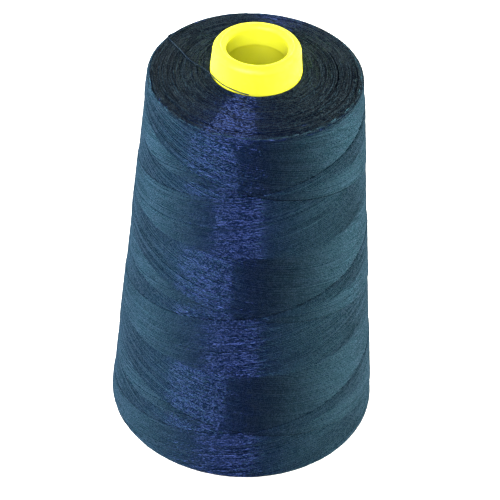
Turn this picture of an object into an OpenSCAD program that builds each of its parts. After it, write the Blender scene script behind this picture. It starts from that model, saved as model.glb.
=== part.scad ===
// Cone of sewing thread: a hollow moulded core, a cross-wound package of thread on it, and the
// thread's loose end. The origin is the centre of the core's base, and +Z runs up the core's axis.

/* [Thread package] */
// Diameter of the winding at its bottom edge
package_bottom_d = 80; // [74:1:86]
// Diameter of the winding at its top edge
package_top_d = 60; // [56:1:64]
// Height of the winding, from its bottom edge to its top edge
package_h = 119; // [110:1:122]
// Height of the winding's bottom edge above the core's base
package_lift = 4; // [2:0.5:5]
// How far each end face of the winding swells outwards towards the core
end_swell = 2.1; // [0.5:0.1:2.4]
// Radius of the winding's rounded top edge
top_edge_r = 0.6; // [0.4:0.1:2]
// Radius of the winding's rounded bottom edge
bottom_edge_r = 1.4; // [0.4:0.1:2.5]

/* [Core] */
// Height of the core from its base to the top of its nose
core_h = 133; // [131:0.5:145]
// Outer diameter of the core at its base
core_base_d = 46.4; // [45.8:0.2:50]
// Outer diameter of the core's cone where it reaches the top of the nose
core_nose_d = 24; // [23.8:0.2:26]
// Wall thickness of the core
wall = 1.4; // [1:0.1:1.5]
// Radius of the nose's rounded outer edge
nose_round = 2.2; // [1:0.1:2.2]
// Radius of the rounded lip between the nose and its bore
lip_round = 1.5; // [0.5:0.1:1.5]
// Radius of the core's outer edge at the base
base_round = 0.5; // [0.2:0.1:0.8]

/* [Spool pin interfaces] */
// Diameter of the straight bore through the nose
nose_bore_d = 17.2; // [16:0.2:17.6]
// Length of the straight bore through the nose
nose_bore_l = 4.5; // [3:0.5:14]
// Diameter of the straight socket in the base
base_socket_d = 42.6; // [41:0.2:43]
// Length of the straight socket in the base
base_socket_l = 6; // [4:0.5:10]

/* [Thread] */
// Diameter of the sewing thread
thread_d = 0.32; // [0.25:0.01:0.35]

/* [Hidden] */

// Facets of a full turn, and straight pieces in a rounded corner
$fn = 96;
corner_steps = 6;

package_top_z = package_lift + package_h;
nose_bore_r = nose_bore_d / 2;
throat_outer_r = nose_bore_r + wall;
bore_top_z = core_h - lip_round;
throat_round = wall / 3;
bore_end_z = bore_top_z - nose_bore_l - throat_round;

// Middle line of the loose end: along the top edge, over it, across the top face, and round the
// foot of the core's nose to where it is tucked in
tail_route = [
    [-19.6, 23.3, 121.2],
    [-21.1, 21.9, 121.6],
    [-22.5, 20.3, 122.0],
    [-23.7, 18.8, 122.4],
    [-24.6, 17.4, 122.8],
    [-25.1, 16.1, 123.2],
    [-25, 14.9, 123.5],
    [-24, 12.9, 123.7],
    [-22.6, 10.5, 124.0],
    [-21, 7.6, 124.3],
    [-19.4, 4.7, 124.5],
    [-18, 2.4, 124.8],
    [-16.2, 0.4, 125.1],
    [-14.6, -1.4, 125.3],
    [-13.2, -3.1, 125.5],
    [-12, -5.1, 125.7],
    [-10.6, -7.5, 125.9],
    [-8.9, -9.6, 126.0],
    [-6.7, -11.2, 125.9],
    [-4.4, -12.3, 125.7],
    [-2.5, -12.9, 125.5],
    [-1.6, -13, 125.4]
];
tail_sides = 8;
rings_per_step = 3;

// Outer radius of the core at height z
function core_r(z) = (core_base_d + (core_nose_d - core_base_d) * z / core_h) / 2;

function unit(v) = v / norm(v);

// Points of an arc of radius r that rounds the corner c between the lines to a and to b
function rounded(a, c, b, r) =
    let(u = unit(a - c))
    let(v = unit(b - c))
    let(half = acos(u * v) / 2)
    let(middle = c + unit(u + v) * r / sin(half))
    let(first = c + u * r / tan(half) - middle)
    let(last = c + v * r / tan(half) - middle)
    let(start = atan2(first[1], first[0]))
    let(sweep = atan2(first[0] * last[1] - first[1] * last[0], first * last))
    [for (i = [0 : corner_steps])
        middle + r * [cos(start + sweep * i / corner_steps), sin(start + sweep * i / corner_steps)]];

// Outline of the core's wall in radius and height, from the base's edge up and back down inside
function core_outline() =
    let(base_in = [base_socket_d / 2, 0])
    let(base_out = [core_r(0), 0])
    let(nose_out = [core_r(core_h), core_h])
    let(nose_in = [nose_bore_r, core_h])
    let(throat_end_in = [nose_bore_r, bore_end_z])
    let(throat_end_out = [throat_outer_r, bore_end_z])
    let(roof_z = core_h - lip_round - wall / 2)
    let(roof_in = [throat_outer_r, roof_z])
    let(roof_out = [core_r(roof_z) - wall, roof_z])
    let(socket_end = [base_socket_d / 2, base_socket_l])
    let(cone_start_z = base_socket_l + 2)
    let(cone_start = [core_r(cone_start_z) - wall, cone_start_z])
    concat(
        [base_in],
        rounded(base_in, base_out, nose_out, base_round),
        rounded(base_out, nose_out, nose_in, nose_round),
        rounded(nose_out, nose_in, throat_end_in, lip_round),
        rounded(nose_in, throat_end_in, throat_end_out, throat_round),
        rounded(throat_end_in, throat_end_out, roof_in, throat_round),
        [roof_in, roof_out, cone_start, socket_end]
    );

// Outline of the winding in radius and height, resting on the core's outer surface
function package_outline() =
    let(bottom_in = [core_r(package_lift - end_swell), package_lift - end_swell])
    let(bottom_out = [package_bottom_d / 2, package_lift])
    let(top_out = [package_top_d / 2, package_top_z])
    let(top_in = [core_r(package_top_z + end_swell), package_top_z + end_swell])
    concat(
        [bottom_in],
        rounded(bottom_in, bottom_out, top_out, bottom_edge_r),
        rounded(bottom_out, top_out, top_in, top_edge_r),
        [top_in]
    );

// Point i of a route, held at its ends
function at(route, i) = route[max(0, min(len(route) - 1, i))];

// Point on the smooth curve through a route, at share t of the step that starts at point i
function curve_point(route, i, t) =
    let(a = at(route, i - 1))
    let(b = at(route, i))
    let(c = at(route, i + 1))
    let(d = at(route, i + 2))
    (2 * b + (c - a) * t + (2 * a - 5 * b + 4 * c - d) * t * t + (3 * b - a - 3 * c + d) * t * t * t) / 2;

// Centres of the rings along the smooth curve through a route
function ring_centres(route) = concat(
    [for (i = [0 : len(route) - 2], k = [0 : rings_per_step - 1]) curve_point(route, i, k / rings_per_step)],
    [route[len(route) - 1]]
);

// One ring of a tube of radius r round the curve's centre i
function tube_ring(centres, i, r) =
    let(along = unit(at(centres, i + 1) - at(centres, i - 1)))
    let(side = unit(cross(along, [0, 0, 1])))
    let(up = cross(side, along))
    [for (k = [0 : tail_sides - 1])
        centres[i] + r * (side * cos(360 * k / tail_sides) + up * sin(360 * k / tail_sides))];

// A round tube along a route, closed at both ends
module tube_along(route, r) {
    centres = ring_centres(route);
    rings = len(centres);
    points = [for (i = [0 : rings - 1]) each tube_ring(centres, i, r)];
    start_cap = [for (k = [0 : tail_sides - 1]) k];
    end_cap = [for (k = [0 : tail_sides - 1]) rings * tail_sides - 1 - k];
    walls = [for (i = [0 : rings - 2], k = [0 : tail_sides - 1])
        let(next = (k + 1) % tail_sides)
        [i * tail_sides + k, (i + 1) * tail_sides + k, (i + 1) * tail_sides + next, i * tail_sides + next]];
    polyhedron(points, concat([start_cap], walls, [end_cap]));
}

// Hollow moulded core that the thread is wound on
module core_cone() {
    color("yellow")
        rotate_extrude()
            polygon(core_outline());
}

// The wound body of thread
module thread_package() {
    color("midnightblue")
        rotate_extrude()
            polygon(package_outline());
}

// The thread's loose end
module thread_tail() {
    color("steelblue")
        tube_along(tail_route, thread_d / 2);
}

core_cone();
thread_package();
thread_tail();
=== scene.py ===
import math

import bpy
import numpy as np
from mathutils import Matrix, Vector


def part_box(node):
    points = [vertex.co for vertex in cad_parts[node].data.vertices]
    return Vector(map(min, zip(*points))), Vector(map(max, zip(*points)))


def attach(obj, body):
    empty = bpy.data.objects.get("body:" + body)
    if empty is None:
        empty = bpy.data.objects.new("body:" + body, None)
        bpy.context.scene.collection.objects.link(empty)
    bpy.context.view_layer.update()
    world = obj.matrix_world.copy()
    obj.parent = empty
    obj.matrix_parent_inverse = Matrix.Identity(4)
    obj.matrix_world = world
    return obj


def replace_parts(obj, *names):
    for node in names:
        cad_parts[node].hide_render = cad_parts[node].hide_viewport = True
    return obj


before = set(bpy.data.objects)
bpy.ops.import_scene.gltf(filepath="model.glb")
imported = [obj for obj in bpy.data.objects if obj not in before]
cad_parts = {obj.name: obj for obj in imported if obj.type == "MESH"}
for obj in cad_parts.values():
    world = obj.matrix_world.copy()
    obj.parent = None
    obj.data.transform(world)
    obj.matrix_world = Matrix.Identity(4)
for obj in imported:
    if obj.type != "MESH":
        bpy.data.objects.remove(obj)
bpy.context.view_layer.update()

MM = 0.001
rng = np.random.default_rng(7)

# ---------------------------------------------------------------- sizes, in millimetres

PACKAGE_LOW, PACKAGE_HIGH = (np.array(corner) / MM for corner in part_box("thread_package"))
END_SWELL = 2.1
SIDE_BOTTOM = np.array([40.0, PACKAGE_LOW[2] + END_SWELL])
SIDE_TOP = np.array([30.0, PACKAGE_HIGH[2] - END_SWELL])
TOP_EDGE_R = 0.6
BOTTOM_EDGE_R = 1.4
CORE_BASE_R = 23.2
CORE_NOSE_R = 12.0
CORE_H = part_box("core_cone")[1][2] / MM
CORE_WALL = 1.4
NOSE_ROUND = 2.2
LIP_ROUND = 1.5
BASE_ROUND = 0.5
BORE_R = 8.6
BORE_L = 4.5
SOCKET_R = 21.3
SOCKET_L = 6.0
SOCKET_STEP = 2.0  # height of the slope from the socket's wall to the cone's

THREAD_D = 0.32
LAYER = 0.2  # how much one wound layer adds
STROKE_TURNS = 3
EDGE_GAP = 1.6  # the open gap beside the newest pass, in threads
TIP_CUT = 3.0  # how far a rounded turn-round stays short of the straight stroke's apex
PLY_STEP = 0.6  # how far apart the two plies' turns lie along the thread
STRANDS = 124  # side-by-side passes of one direction that cover the package once
RINGS_PER_TURN = 72
SKIN = 0.62  # depth of the dark body under the winding's outer surface
WHITE = (1.0, 1.0, 1.0)

# ---------------------------------------------------------------- camera

LENS = 157.6
CAMERA_PLACE = (0, -0.4902, 0.4773)
CAMERA_AIM = (0.00066, 0, 0.05935)
CAMERA_ROLL = 2.717  # degrees


def look_at(place, aim, roll):
    """Matrix of a camera at place that looks at aim, turned by roll about its line of sight."""
    back = (place - aim).normalized()
    right = Vector((0, 0, 1)).cross(back).normalized()
    up = back.cross(right)
    turned = math.cos(roll) * right + math.sin(roll) * up
    above = back.cross(turned)
    matrix = Matrix((turned, above, back)).transposed().to_4x4()
    matrix.translation = place
    return matrix


def make_camera():
    data = bpy.data.cameras.new("camera")
    data.lens = LENS
    data.sensor_width = 36.0
    data.clip_start = 0.05
    data.clip_end = 20.0
    camera = bpy.data.objects.new("camera", data)
    bpy.context.scene.collection.objects.link(camera)
    camera.matrix_world = look_at(Vector(CAMERA_PLACE), Vector(CAMERA_AIM), math.radians(CAMERA_ROLL))
    bpy.context.scene.camera = camera


make_camera()


# ---------------------------------------------------------------- mesh helpers

def new_object(name, points, faces, finish):
    """A smooth-shaded mesh object from points in metres."""
    mesh = bpy.data.meshes.new(name)
    mesh.from_pydata(points, [], faces)
    mesh.polygons.foreach_set("use_smooth", np.full(len(mesh.polygons), True))
    mesh.materials.append(finish)
    mesh.update()
    thing = bpy.data.objects.new(name, mesh)
    bpy.context.scene.collection.objects.link(thing)
    return thing


def new_piece(name, points, faces, slot, finish):
    """A mesh object of the part from points in millimetres, riding on the only body."""
    piece = new_object(name, np.asarray(points) * MM, faces, finish)
    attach(piece, "root")
    return piece


def tube_rings(centres, out, radius_out, radius_side, sides):
    """Ring points of an oval tube, one ring for each centre, with radius_out measured along out."""
    along = np.gradient(centres, axis=0)
    along /= np.linalg.norm(along, axis=1)[:, None]
    side = np.cross(along, out)
    side /= np.linalg.norm(side, axis=1)[:, None]
    up = np.cross(side, along)
    angle = np.arange(sides) / sides * 2 * np.pi
    ring_up = np.cos(angle)[None, :, None] * up[:, None, :]
    ring_side = np.sin(angle)[None, :, None] * side[:, None, :]
    return centres[:, None, :] + radius_out * ring_up + radius_side * ring_side


class Strands:
    """Collects tubes into one mesh with two maps.

    The strand map holds the millimetres along the thread and, across it, the thread's number plus
    the share of a turn around it, for the finish. The OFBake map lays the threads out in rows, as a
    layout for baking textures.
    """

    ROW_LENGTH = 260.0  # millimetres of thread in a row
    ROW_GAP = 0.5  # millimetres between the stretches in a row
    ROW_FILL = 0.8  # share of a row's height that a thread takes up

    def __init__(self):
        self.points, self.faces, self.caps, self.count = [], [], [], 0
        self.strand_map, self.stretches = [], []

    def add(self, rings, number=0.0):
        n, sides = rings.shape[:2]
        first = self.count + np.arange(n - 1)[:, None] * sides
        k = np.arange(sides)[None, :]
        after = (k + 1) % sides
        quads = np.stack([first + k, first + after, first + sides + after, first + sides + k], -1)
        self.faces.append(quads.reshape(-1, 4))
        self.caps.append(tuple(self.count + np.arange(sides)[::-1]))
        self.caps.append(tuple(self.count + (n - 1) * sides + np.arange(sides)))
        self.points.append(rings.reshape(-1, 3))
        self.count += n * sides
        middle = rings.mean(1)
        along = np.concatenate([[0], np.cumsum(np.linalg.norm(np.diff(middle, axis=0), axis=1))])
        around = np.arange(sides + 1) / sides
        u = np.broadcast_to(along[:, None], (n, sides + 1))
        v = np.broadcast_to(around[None, :], (n, sides + 1))
        grid = np.stack([u, v], -1)
        corners = np.stack([grid[:-1, :-1], grid[:-1, 1:], grid[1:, 1:], grid[1:, :-1]], 2)
        self.strand_map.append((corners + (0, number)).reshape(-1, 2))
        for start in range(0, n - 1, RINGS_PER_TURN):
            end = min(start + RINGS_PER_TURN, n - 1)
            stretch = corners[start:end].reshape(-1, 2) - (along[start], 0)
            self.stretches.append((stretch, along[end] - along[start]))

    def rows(self):
        """The OFBake map: stretches of thread side by side in rows of one length."""
        row, used, placed = 0, 0.0, []
        for corners, length in self.stretches:
            if used + length > self.ROW_LENGTH and used > 0:
                row, used = row + 1, 0.0
            placed.append(corners * (1, self.ROW_FILL) + (used, row + (1 - self.ROW_FILL) / 2))
            used += length + self.ROW_GAP
        longest = max(p[:, 0].max() for p in placed)
        return np.concatenate(placed) / (longest, row + 1)

    def piece(self, name, finish):
        """One piece of the part from all the tubes."""
        faces = np.concatenate(self.faces).tolist() + self.caps
        piece = new_piece(name, np.concatenate(self.points), faces, "thread", finish)
        cap_corners = np.zeros((sum(len(c) for c in self.caps), 2))
        for layer, corners in (("strand", np.concatenate(self.strand_map)), ("OFBake", self.rows())):
            values = np.concatenate([corners, cap_corners]).astype(np.float32)
            piece.data.uv_layers.new(name=layer).data.foreach_set("uv", values.ravel())
        return piece


# ---------------------------------------------------------------- shapes of revolution

def unit(v):
    return v / np.linalg.norm(v)


def rounded(a, c, b, r, steps=12):
    """Points of the arc of radius r that rounds the corner c between the lines to a and b."""
    a, c, b = (np.asarray(p, float) for p in (a, c, b))
    u, v = unit(a - c), unit(b - c)
    half = math.acos(float(u @ v)) / 2
    middle = c + unit(u + v) * r / math.sin(half)
    first, last = c + u * r / math.tan(half) - middle, c + v * r / math.tan(half) - middle
    start = math.atan2(first[1], first[0])
    sweep = math.atan2(first[0] * last[1] - first[1] * last[0], float(first @ last))
    turns = start + sweep * np.linspace(0, 1, steps + 1)
    return [middle + r * np.array([math.cos(t), math.sin(t)]) for t in turns]


def lathe(outline, facets):
    """Points and faces of a closed outline of radius and height, turned about the axis."""
    outline = np.asarray(outline)
    n = len(outline)
    turn = np.arange(facets) / facets * 2 * np.pi
    ring = np.stack([np.cos(turn), np.sin(turn)], -1)
    across = outline[None, :, :1] * ring[:, None, :]
    height = np.broadcast_to(outline[None, :, 1:], (facets, n, 1))
    points = np.concatenate([across, height], -1)
    i, j = np.meshgrid(np.arange(facets), np.arange(n), indexing="ij")
    i2, j2 = (i + 1) % facets, (j + 1) % n
    faces = np.stack([i * n + j, i2 * n + j, i2 * n + j2, i * n + j2], -1).reshape(-1, 4)
    return points.reshape(-1, 3), faces.tolist()


def core_r(z):
    """Outer radius of the core's cone at height z."""
    return CORE_BASE_R + (CORE_NOSE_R - CORE_BASE_R) * z / CORE_H


def between(a, b, steps):
    """Points inside the line from a to b, so that long walls have rings along them."""
    a, b = np.asarray(a, float), np.asarray(b, float)
    return [a + (b - a) * k / (steps + 1) for k in range(1, steps + 1)]


def core_outline():
    """The core's section, from the socket's mouth over the nose and back down inside."""
    throat_round = CORE_WALL / 3
    bore_end = CORE_H - LIP_ROUND - BORE_L - throat_round
    throat_r = BORE_R + CORE_WALL
    roof = CORE_H - LIP_ROUND - CORE_WALL / 2
    base_in, base_out = (SOCKET_R, 0), (CORE_BASE_R, 0)
    nose_out, nose_in = (core_r(CORE_H), CORE_H), (BORE_R, CORE_H)
    end_in, end_out = (BORE_R, bore_end), (throat_r, bore_end)
    roof_in, roof_out = (throat_r, roof), (core_r(roof) - CORE_WALL, roof)
    cone_z = SOCKET_L + SOCKET_STEP
    cone_start = (core_r(cone_z) - CORE_WALL, cone_z)
    return [
        np.array(base_in, float),
        *rounded(base_in, base_out, nose_out, BASE_ROUND),
        *between(base_out, nose_out, 20)[1:],
        *rounded(base_out, nose_out, nose_in, NOSE_ROUND, 20),
        *rounded(nose_out, nose_in, end_in, LIP_ROUND, 16),
        *rounded(nose_in, end_in, end_out, throat_round, 5),
        *rounded(end_in, end_out, roof_in, throat_round, 5),
        np.array(roof_in),
        np.array(roof_out),
        *between(roof_out, cone_start, 20),
        np.array(cone_start),
        np.array((SOCKET_R, SOCKET_L)),
    ]


def package_outline(inset):
    """The winding's outline, inset below its outer surface."""
    top_in = np.array([core_r(SIDE_TOP[1] + END_SWELL), SIDE_TOP[1] + END_SWELL])
    bottom_in = np.array([core_r(SIDE_BOTTOM[1] - END_SWELL), SIDE_BOTTOM[1] - END_SWELL])
    low, high = SIDE_BOTTOM + (-inset, inset), SIDE_TOP + (-inset, -inset)
    top_in, bottom_in = top_in + (0, -inset), bottom_in + (0, inset)
    return [
        bottom_in,
        *rounded(bottom_in, low, high, BOTTOM_EDGE_R),
        *rounded(low, high, top_in, TOP_EDGE_R),
        top_in,
    ]


# ---------------------------------------------------------------- finishes

def new_material(name):
    mat = bpy.data.materials.new(name)
    mat.use_nodes = True
    nodes, links = mat.node_tree.nodes, mat.node_tree.links
    return mat, nodes, links, nodes["Principled BSDF"]


def noise(nodes, links, scale, detail, roughness=0.5, stretch=(1, 1, 1)):
    """A noise of the place on the object, with scale in repeats per metre."""
    place = nodes.new("ShaderNodeTexCoord")
    stretched = nodes.new("ShaderNodeMapping")
    stretched.inputs["Scale"].default_value = stretch
    texture = nodes.new("ShaderNodeTexNoise")
    texture.inputs["Scale"].default_value = scale
    texture.inputs["Detail"].default_value = detail
    texture.inputs["Roughness"].default_value = roughness
    links.new(place.outputs["Object"], stretched.inputs["Vector"])
    links.new(stretched.outputs["Vector"], texture.inputs["Vector"])
    return texture.outputs["Fac"]


def ramp(nodes, links, value, stops):
    """A colour for each value, through the stops (position, colour)."""
    node = nodes.new("ShaderNodeValToRGB")
    elements = node.color_ramp.elements
    while len(elements) < len(stops):
        elements.new(0.5)
    for element, (position, colour) in zip(elements, stops):
        element.position = position
        element.color = (*colour, 1)
    links.new(value, node.inputs["Fac"])
    return node.outputs["Color"]


def bump(nodes, links, height, strength, distance):
    node = nodes.new("ShaderNodeBump")
    node.inputs["Strength"].default_value = strength
    node.inputs["Distance"].default_value = distance
    links.new(height, node.inputs["Height"])
    return node.outputs["Normal"]


def calculate(nodes, links, operation, *values):
    """A Math node on sockets or numbers."""
    node = nodes.new("ShaderNodeMath")
    node.operation = operation
    for socket, value in zip(node.inputs, values):
        if isinstance(value, bpy.types.NodeSocket):
            links.new(value, socket)
        else:
            socket.default_value = value
    return node.outputs["Value"]


def strand_noise(nodes, links, place, scale, detail):
    """A noise in the strand map: repeats per millimetre along, and per thread across."""
    stretched = nodes.new("ShaderNodeMapping")
    stretched.inputs["Scale"].default_value = (*scale, 1)
    texture = nodes.new("ShaderNodeTexNoise")
    texture.inputs["Scale"].default_value = 1.0
    texture.inputs["Detail"].default_value = detail
    links.new(place, stretched.inputs["Vector"])
    links.new(stretched.outputs["Vector"], texture.inputs["Vector"])
    return texture.outputs["Fac"]


CLUMP_SCALE = (0.09, 0.22)  # long patches of tone, as strand_noise takes it
GLINT_SCALE = (1.7, 0.5)  # single glossy fibres
# The ply's share is painted shade: it darkens the tone where the two plies meet
GLINT_TONE, CLUMP_TONE, PLY_CREASE_SHADE = 1.2, 0.6, 0.1  # how much each changes the thread's tone
TONE_SHIFT = 0.46
PLY_RELIEF = 0.2


def thread_material(name, dark, middle, light, sheen=0.22, shine=1.0, spread=0.12, shine_from=0.5):
    """Two plies twisted together, with a tone that changes from thread to thread and along them.

    Fibres whose glint is over shine_from have a glossy coat of weight shine and roughness spread.
    """
    mat, nodes, links, shader = new_material(name)
    place = nodes.new("ShaderNodeUVMap")
    place.uv_map = "strand"
    split = nodes.new("ShaderNodeSeparateXYZ")
    links.new(place.outputs["UV"], split.inputs["Vector"])
    turns = calculate(nodes, links, "MULTIPLY", split.outputs["X"], math.pi / PLY_STEP)
    phase = calculate(nodes, links, "MULTIPLY_ADD", split.outputs["Y"], 2 * math.pi, turns)
    ply = calculate(nodes, links, "ABSOLUTE", calculate(nodes, links, "SINE", phase))
    clumps = strand_noise(nodes, links, place.outputs["UV"], CLUMP_SCALE, 3)
    glints = strand_noise(nodes, links, place.outputs["UV"], GLINT_SCALE, 0)
    patches = calculate(nodes, links, "MULTIPLY", clumps, CLUMP_TONE)
    patches = calculate(nodes, links, "MULTIPLY_ADD", glints, GLINT_TONE, patches)
    patches = calculate(nodes, links, "SUBTRACT", patches, TONE_SHIFT)
    # The ply term is painted shade: the tone drops in the crease where the two plies meet
    tone = calculate(nodes, links, "MULTIPLY_ADD", ply, PLY_CREASE_SHADE, patches)
    colour = ramp(nodes, links, tone, [(0.34, dark), (0.52, middle), (0.7, light)])
    links.new(colour, shader.inputs["Base Color"])
    roughness = ramp(nodes, links, glints, [(0.45, (0.6, 0.6, 0.6)), (0.6, (0.35, 0.35, 0.35))])
    links.new(roughness, shader.inputs["Roughness"])
    coat = ramp(nodes, links, glints, [(shine_from, (0, 0, 0)), (shine_from + 0.07, (shine, shine, shine))])
    links.new(coat, shader.inputs["Coat Weight"])
    shader.inputs["Coat Roughness"].default_value = spread
    shader.inputs["Coat IOR"].default_value = 1.8
    shader.inputs["Specular IOR Level"].default_value = 0.5
    shader.inputs["Specular Tint"].default_value = (0.3, 0.6, 1.0, 1)
    shader.inputs["Sheen Weight"].default_value = sheen
    shader.inputs["Sheen Roughness"].default_value = 0.5
    shader.inputs["Sheen Tint"].default_value = (0.2, 0.6, 0.85, 1)
    height = calculate(nodes, links, "MULTIPLY_ADD", ply, PLY_RELIEF, glints)
    links.new(bump(nodes, links, height, 1.0, 0.00015), shader.inputs["Normal"])
    return mat


def shaded_thread_material():
    """The layers under the outer cover: the navy thread made darker, painted shade for the winding's shaded
    inside, with a random tone.
    """
    mat, nodes, links, shader = new_material("navy_thread_deep_painted_shade")
    tone = noise(nodes, links, 900, 4, 0.6, (0.2, 0.2, 1))
    colour = ramp(nodes, links, tone, [(0.3, (0.002, 0.004, 0.008)), (0.7, (0.005, 0.011, 0.02))])
    links.new(colour, shader.inputs["Base Color"])
    shader.inputs["Roughness"].default_value = 0.7
    shader.inputs["Specular IOR Level"].default_value = 0.1
    links.new(bump(nodes, links, tone, 0.5, 0.0001), shader.inputs["Normal"])
    return mat


def core_material():
    """Satin lemon plastic that lets a little light through."""
    mat, nodes, links, shader = new_material("lemon_plastic")
    cloud = noise(nodes, links, 60, 3)
    colour = ramp(nodes, links, cloud, [(0.3, (0.82, 0.82, 0.035)), (0.7, (0.86, 0.86, 0.05))])
    links.new(colour, shader.inputs["Base Color"])
    shader.inputs["Roughness"].default_value = 0.45
    shader.inputs["Specular IOR Level"].default_value = 0.3
    shader.inputs["Subsurface Weight"].default_value = 0.6
    shader.inputs["Subsurface Radius"].default_value = (1.0, 0.95, 0.15)
    shader.inputs["Subsurface Scale"].default_value = 0.004
    grain = noise(nodes, links, 2500, 2)
    links.new(bump(nodes, links, grain, 0.08, 0.00005), shader.inputs["Normal"])
    return mat


NAVY_SHADES = ((0.0008, 0.002, 0.004), (0.006, 0.0105, 0.019), (0.022, 0.035, 0.063))
# The end faces' thread is the navy made darker: painted shade, for end faces that take less light than the
# side
FACE_PAINTED_SHADE_TONES = ((0.0003, 0.0006, 0.0008), (0.0035, 0.008, 0.0125), (0.018, 0.042, 0.062))
# The loose end's thread is the navy made lighter: painted light, for a lone thread that catches more light
# than the winding
LOOSE_PAINTED_LIGHT_TONES = ((0.005, 0.01, 0.018), (0.012, 0.021, 0.034), (0.024, 0.038, 0.055))

LOOSE_PAINTED_LIGHT = thread_material("navy_thread_loose_painted_light", *LOOSE_PAINTED_LIGHT_TONES, sheen=0.02, shine=0.2)
NAVY = thread_material("navy_thread", *NAVY_SHADES)
FACE_PAINTED_SHADE = thread_material("navy_thread_face_painted_shade", *FACE_PAINTED_SHADE_TONES, sheen=0.0, spread=0.17, shine_from=0.46)
DEEP_PAINTED_SHADE = shaded_thread_material()
YELLOW = core_material()


# ---------------------------------------------------------------- loose end

# Middle line of the loose end, in metres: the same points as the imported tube's
TAIL_ROUTE = [
    (-0.0196, 0.0233, 0.1212), (-0.0211, 0.0219, 0.1216), (-0.0225, 0.0203, 0.1220),
    (-0.0237, 0.0188, 0.1224), (-0.0246, 0.0174, 0.1228), (-0.0251, 0.0161, 0.1232),
    (-0.0250, 0.0149, 0.1235), (-0.0240, 0.0129, 0.1237), (-0.0226, 0.0105, 0.1240),
    (-0.0210, 0.0076, 0.1243), (-0.0194, 0.0047, 0.1245), (-0.0180, 0.0024, 0.1248),
    (-0.0162, 0.0004, 0.1251), (-0.0146, -0.0014, 0.1253), (-0.0132, -0.0031, 0.1255),
    (-0.0120, -0.0051, 0.1257), (-0.0106, -0.0075, 0.1259), (-0.0089, -0.0096, 0.1260),
    (-0.0067, -0.0112, 0.1259), (-0.0044, -0.0123, 0.1257), (-0.0025, -0.0129, 0.1255),
    (-0.0016, -0.0130, 0.1254),
]


def smooth_route(route, per_step):
    """Points on the smooth curve (a Catmull-Rom spline) through a route."""
    p = np.asarray(route)
    p = np.concatenate([p[:1], p, p[-1:]])
    out = []
    for i in range(1, len(p) - 2):
        a, b, c, d = p[i - 1 : i + 3]
        slope, bend, twist = c - a, 2 * a - 5 * b + 4 * c - d, 3 * b - a - 3 * c + d
        for t in np.arange(per_step) / per_step:
            out.append((2 * b + slope * t + bend * t**2 + twist * t**3) / 2)
    out.append(p[-2])
    return np.array(out)


def thread_tail():
    """The loose end as one round strand."""
    path = smooth_route(TAIL_ROUTE, 16)
    upward = np.tile((0.0, 0.0, 1.0), (len(path), 1))
    strands = Strands()
    strands.add(tube_rings(path / MM, upward, THREAD_D / 2, THREAD_D / 2, 10))
    # its lighter finish is painted light
    tail = strands.piece("thread_tail_end", LOOSE_PAINTED_LIGHT)
    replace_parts(tail, "thread_tail")


thread_tail()


# ---------------------------------------------------------------- core and the winding's body

def make_core():
    core = new_piece("core", *lathe(core_outline(), 192), "core_plastic", YELLOW)
    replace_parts(core, "core_cone")
    core.visible_glossy = False  # the dark thread beside it shows no yellow reflection
    return core


def winding_body():
    """The inside of the winding, under its outer cover, darkened with painted shade."""
    body = new_piece("winding_body", *lathe(package_outline(SKIN), 180), "thread", DEEP_PAINTED_SHADE)
    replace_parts(body, "thread_package")


core = make_core()
winding_body()


# ---------------------------------------------------------------- cross-wound side

APEX_LOW = SIDE_BOTTOM[1] - TIP_CUT
APEX_HIGH = SIDE_TOP[1] + TIP_CUT
PITCH = (APEX_HIGH - APEX_LOW) / STROKE_TURNS
TIP_TURN = math.radians(184)  # azimuth of the last turn-round at the top, from the front to the right


def traverse(turns):
    """Height of the thread guide after this many turns, counted from a turn-round at the top."""
    phase = np.mod(turns / STROKE_TURNS, 2.0)
    from_tip = np.minimum(phase, 2 - phase) * STROKE_TURNS
    to_low = STROKE_TURNS - from_tip
    soft = 2 * TIP_CUT / PITCH
    drop = np.where(from_tip < soft, (from_tip**2 + soft**2) / (2 * soft), from_tip)
    rise = np.where(to_low < soft, (to_low**2 + soft**2) / (2 * soft), to_low)
    return np.where(from_tip < to_low, APEX_HIGH - PITCH * drop, APEX_LOW + PITCH * rise)


def ages(turn, z):
    """How long ago, in covers, the last rising and the last falling pass went over a place."""
    below = (APEX_HIGH - z) / PITCH
    tip = TIP_TURN / (2 * math.pi)
    return np.mod(turn - tip + below, 1.0), np.mod(turn - tip - below, 1.0)


def side_radius(z):
    """Radius of the winding's outer surface at height z, rounded over its edges."""
    (r0, z0), (r1, z1) = SIDE_BOTTOM, SIDE_TOP
    r = r0 + (r1 - r0) * (z - z0) / (z1 - z0)
    over = np.clip(z - (z1 - TOP_EDGE_R), 0, TOP_EDGE_R)
    under = np.clip((z0 + BOTTOM_EDGE_R) - z, 0, BOTTOM_EDGE_R)
    r = r - (TOP_EDGE_R - np.sqrt(TOP_EDGE_R**2 - over**2))
    return r - (BOTTOM_EDGE_R - np.sqrt(BOTTOM_EDGE_R**2 - under**2))


def wander(n, steps, size):
    """A smooth random walk of n values about zero, changing over about this many steps."""
    knots = rng.normal(0, size, n // steps + 4)
    x = np.arange(n) / steps
    k = x.astype(int)
    t = x - k
    t = t * t * (3 - 2 * t)
    return knots[k] * (1 - t) + knots[k + 1] * t


PASS_DEPTH = 0.1  # how deep the newest pass's middle line lies under the outer surface
PASS_RADII = (0.13, 0.165)  # a pressed thread's half height and half width
# The next three place dark strands that are painted shade, laid in the shaded gaps beside the newest passes
SHADE_STRAND_RADII = (0.1, 0.13)
SHADE_STRAND_DEPTH = 0.14  # below the passes beside it
SHADE_STRAND_PLACE = -0.9  # in threads: on the open side of the newest pass
GAP_SCATTER = 0.6  # how unevenly the passes lie beside each other
LEVEL_SCATTER = 0.025
HEIGHT_WANDER = 0.07
DEPTH_WANDER = 0.012
TIP_SCATTER = 0.35  # how unevenly the turn-rounds end
TIP_TURNS = 0.15  # how many turns a turn-round takes up


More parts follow.
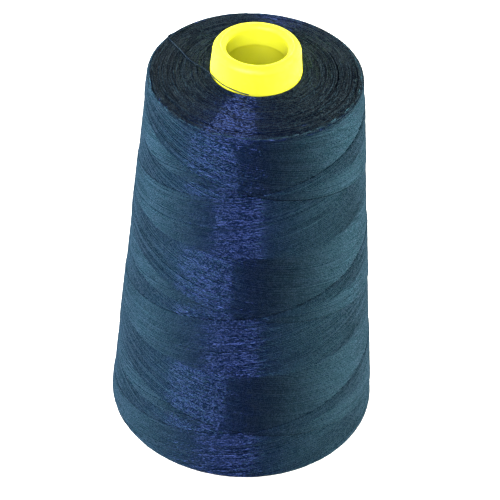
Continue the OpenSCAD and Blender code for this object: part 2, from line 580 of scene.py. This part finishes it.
def pass_centres(turns, cover, rising, lift):
    """Middle line of one pass. turns counts from its turn-round at the top, and cover is its age."""
    n = len(turns)
    turn = TIP_TURN / (2 * math.pi) + turns + cover
    z = traverse(turns) + wander(n, 22, HEIGHT_WANDER)
    z = z - abs(rng.normal(0, TIP_SCATTER)) * (np.abs(turns % STROKE_TURNS) < TIP_TURNS)
    z = np.clip(z, SIDE_BOTTOM[1] + 0.2, SIDE_TOP[1] + 0.05)
    rise_age, fall_age = ages(turn, z)
    other = fall_age if rising else rise_age
    level = -LAYER * (cover + other + (other < cover) - 1)
    level = np.convolve(np.pad(level, 1, mode="edge"), (0.25, 0.5, 0.25), mode="valid")
    r = side_radius(z) - PASS_DEPTH + level + lift + wander(n, 9, DEPTH_WANDER)
    angle = 2 * math.pi * turn - math.pi / 2
    out = np.stack([np.cos(angle), np.sin(angle), np.zeros(n)], -1)
    return out * r[:, None] + np.array([0, 0, 1]) * z[:, None], out


def side_winding(pieces=5):
    """The outer cover of the side, in a few pieces from the newest passes to the oldest."""
    gaps = 1 + GAP_SCATTER * rng.uniform(-1, 1, STRANDS)
    covers = np.concatenate([[0], np.cumsum(gaps)[:-1]]) / (gaps.sum() + EDGE_GAP)
    share = math.ceil(STRANDS / pieces)
    for part in range(pieces):
        strands = Strands()
        for cover in covers[part * share : (part + 1) * share]:
            for rising in (True, False):
                start = -STROKE_TURNS if rising else 0
                first = start + rng.uniform(0, 1 / RINGS_PER_TURN)
                turns = np.arange(first, start + STROKE_TURNS, 1 / RINGS_PER_TURN)
                centres, out = pass_centres(turns, cover, rising, rng.normal(0, LEVEL_SCATTER))
                number = cover * STRANDS + (0 if rising else 2 * STRANDS)
                strands.add(tube_rings(centres, out, *PASS_RADII, 6), number)
        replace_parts(strands.piece(f"side_winding_{part + 1}", NAVY), "thread_package")


def painted_groove_shade():
    """Dark strands laid in the gaps beside the newest passes: painted shade for these gaps, where the
    thread shades itself.
    """
    shade_strands = Strands()
    for rising in (True, False):
        start = -STROKE_TURNS if rising else 0
        turns = np.arange(start, start + STROKE_TURNS, 1 / RINGS_PER_TURN)
        lift = wander(len(turns), 20, 0.05) - SHADE_STRAND_DEPTH
        centres, out = pass_centres(turns, SHADE_STRAND_PLACE / STRANDS, rising, lift)
        shade_strands.add(tube_rings(centres, out, *SHADE_STRAND_RADII, 6))
    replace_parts(shade_strands.piece("painted_groove_shade", DEEP_PAINTED_SHADE), "thread_package")


side_winding()
painted_groove_shade()


# ---------------------------------------------------------------- end faces

ARC_RADII = (0.12, 0.15)  # an end-face thread's half height and half width
ARC_STEP = 2.0  # millimetres from ring to ring along an arc
SLIPPED_R = (28.2, 29.8)  # radii between which the slipped arcs lie
SLIPPED_AZIMUTHS = (-150, -130)  # azimuths of their middles, in degrees from +X
SLIPPED_LIFT = 0.16
ARC_SCATTER = 0.07  # how unevenly high the other arcs lie
ARC_DIVE = 0.3  # how far an arc's ends go down under the others
EDGE_DROP = 0.7  # how far the outermost arcs go down over the edge


def end_face(name, top, arcs, slipped=0):
    """The thread's turn-rounds on an end face: long arcs that dive under each other at their ends.

    Slipped arcs are single turns that have come over the edge and lie clear of the others.
    """
    edge = SIDE_TOP if top else SIDE_BOTTOM
    inner_r = core_r(edge[1])
    face_r = edge[0] - (TOP_EDGE_R if top else BOTTOM_EDGE_R)
    sign = 1 if top else -1
    strands = Strands()
    rings = np.linspace(inner_r + 0.15, face_r + 0.45, arcs)
    for k, r0 in enumerate((*rng.permutation(rings), *np.linspace(*SLIPPED_R, slipped))):
        loose = k >= arcs
        span = math.radians(rng.uniform(50, 75) if loose else rng.uniform(60, 150))
        middle = math.radians(rng.uniform(*SLIPPED_AZIMUTHS)) if loose else rng.uniform(0, 2 * math.pi)
        n = max(12, int(span * r0 / ARC_STEP))
        t = np.linspace(-1, 1, n)
        angle = middle + span * t / 2
        r = r0 + (0.5 if loose else 0.12) * t * rng.uniform(-1, 1) + wander(n, 9, 0.035)
        r = np.maximum(r, inner_r + 0.12)
        face_z = edge[1] + sign * END_SWELL * (edge[0] - r) / (edge[0] - inner_r)
        over = np.clip((r - face_r) / TOP_EDGE_R, 0, 1)
        lift = SLIPPED_LIFT if loose else rng.normal(0, ARC_SCATTER)
        z = face_z + sign * (lift - PASS_DEPTH - ARC_DIVE * t**2 - EDGE_DROP * over**2)
        out = np.tile((0.0, 0.0, float(sign)), (n, 1))
        centres = np.stack([r * np.cos(angle), r * np.sin(angle), z], -1)
        strands.add(tube_rings(centres, out, *ARC_RADII, 6), rng.uniform(0, 4000))
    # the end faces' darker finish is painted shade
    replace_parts(strands.piece(name, FACE_PAINTED_SHADE), "thread_package")


end_face("top_face_turns", True, 760, slipped=7)
end_face("bottom_face_turns", False, 560)


# ---------------------------------------------------------------- stage and light

FLOOR_R = 3.0  # this and the next lengths are in metres
COVE_R = 1.0  # the radius of the curve from the floor up into the wall
WALL_H = 4.0
FLOOR_DROP = 0.0002  # keeps the floor just clear of the part
FLOOR_FACETS = 96


def floor_material():
    """A pale floor that glows, so that it stays white to its edges."""
    mat, nodes, links, shader = new_material("pale_floor")
    shade = noise(nodes, links, 3, 2)
    colour = ramp(nodes, links, shade, [(0.3, (0.9, 0.9, 0.9)), (0.7, (0.93, 0.93, 0.93))])
    links.new(colour, shader.inputs["Base Color"])
    shader.inputs["Roughness"].default_value = 0.9
    shader.inputs["Specular IOR Level"].default_value = 0.1
    shader.inputs["Emission Color"].default_value = (*WHITE, 1)
    shader.inputs["Emission Strength"].default_value = 0.85
    return mat


def make_floor():
    """A pale floor that curves up into a wall all round. It throws no light on the part."""
    quarter = np.radians(np.linspace(0, 90, 13))
    profile = [(FLOOR_R + COVE_R * math.sin(t), COVE_R * (1 - math.cos(t))) for t in quarter]
    profile.append((FLOOR_R + COVE_R, WALL_H))
    turn = np.arange(FLOOR_FACETS) / FLOOR_FACETS * 2 * np.pi
    points = [(r * math.cos(t), r * math.sin(t), z - FLOOR_DROP) for r, z in profile for t in turn]
    faces = [tuple(range(FLOOR_FACETS))]
    for ring in range(len(profile) - 1):
        first = ring * FLOOR_FACETS
        for k in range(FLOOR_FACETS):
            a, b = first + k, first + (k + 1) % FLOOR_FACETS
            faces.append((a, a + FLOOR_FACETS, b + FLOOR_FACETS, b))
    floor = new_object("floor", points, faces, floor_material())
    floor.visible_diffuse = False
    floor.visible_glossy = False


LIGHT_AIM_H = 0.07  # height in metres of the point that the lights face


def area_light(name, azimuth, elevation, distance, width, height, power, colour):
    """A soft box that faces the part, in metres and watts. Azimuth 0 is in front, positive to the right."""
    a, e = math.radians(azimuth), math.radians(elevation)
    aim = Vector((0, 0, LIGHT_AIM_H))
    away = Vector((math.sin(a) * math.cos(e), -math.cos(a) * math.cos(e), math.sin(e)))
    data = bpy.data.lights.new(name, "AREA")
    data.shape = "RECTANGLE"
    data.size, data.size_y = width, height
    data.energy = power
    data.color = colour
    light = bpy.data.objects.new(name, data)
    bpy.context.scene.collection.objects.link(light)
    turned = away.to_track_quat("Z", "Y").to_matrix().to_4x4()
    light.matrix_world = Matrix.Translation(aim + away * distance) @ turned
    return light


def make_light(core):
    """Soft studio light, with a blue light for the thread's sheen and two lights for the core alone."""
    world = bpy.data.worlds.new("studio")
    world.use_nodes = True
    background = world.node_tree.nodes["Background"]
    background.inputs["Color"].default_value = (*WHITE, 1)
    background.inputs["Strength"].default_value = 0.05
    bpy.context.scene.world = world
    key = area_light("key", -34, 34, 1.2, 0.4, 0.4, 6.0, (1.0, 0.97, 0.92))
    left = area_light("left", -112, 6, 1.2, 1.2, 0.25, 98, WHITE)
    right = area_light("right", 112, 6, 1.2, 1.2, 0.25, 115, (1.0, 0.97, 0.84))
    area_light("back", 180, 45, 1.3, 0.9, 0.4, 1.5, (0.8, 1.0, 1.0))
    glint = area_light("glint", -24, 34, 1.2, 0.95, 0.4, 26, (0.2, 0.3, 1.0))
    glint.visible_diffuse = False
    front = area_light("core_front", 5, 35, 1.2, 0.5, 0.4, 8, WHITE)
    mouth = area_light("core_mouth", -5, 62, 1.2, 0.9, 0.6, 11, WHITE)
    for soft in (key, left, right, front, mouth):
        soft.visible_glossy = False
    only_core = bpy.data.collections.new("only_core")
    only_core.objects.link(core)
    for light in (front, mouth):
        light.light_linking.receiver_collection = only_core


make_floor()
make_light(core)
bpy.context.scene.view_settings.view_transform = "Standard"
bpy.context.scene.cycles.denoising_prefilter = "NONE"  # keeps the thread's fine grain
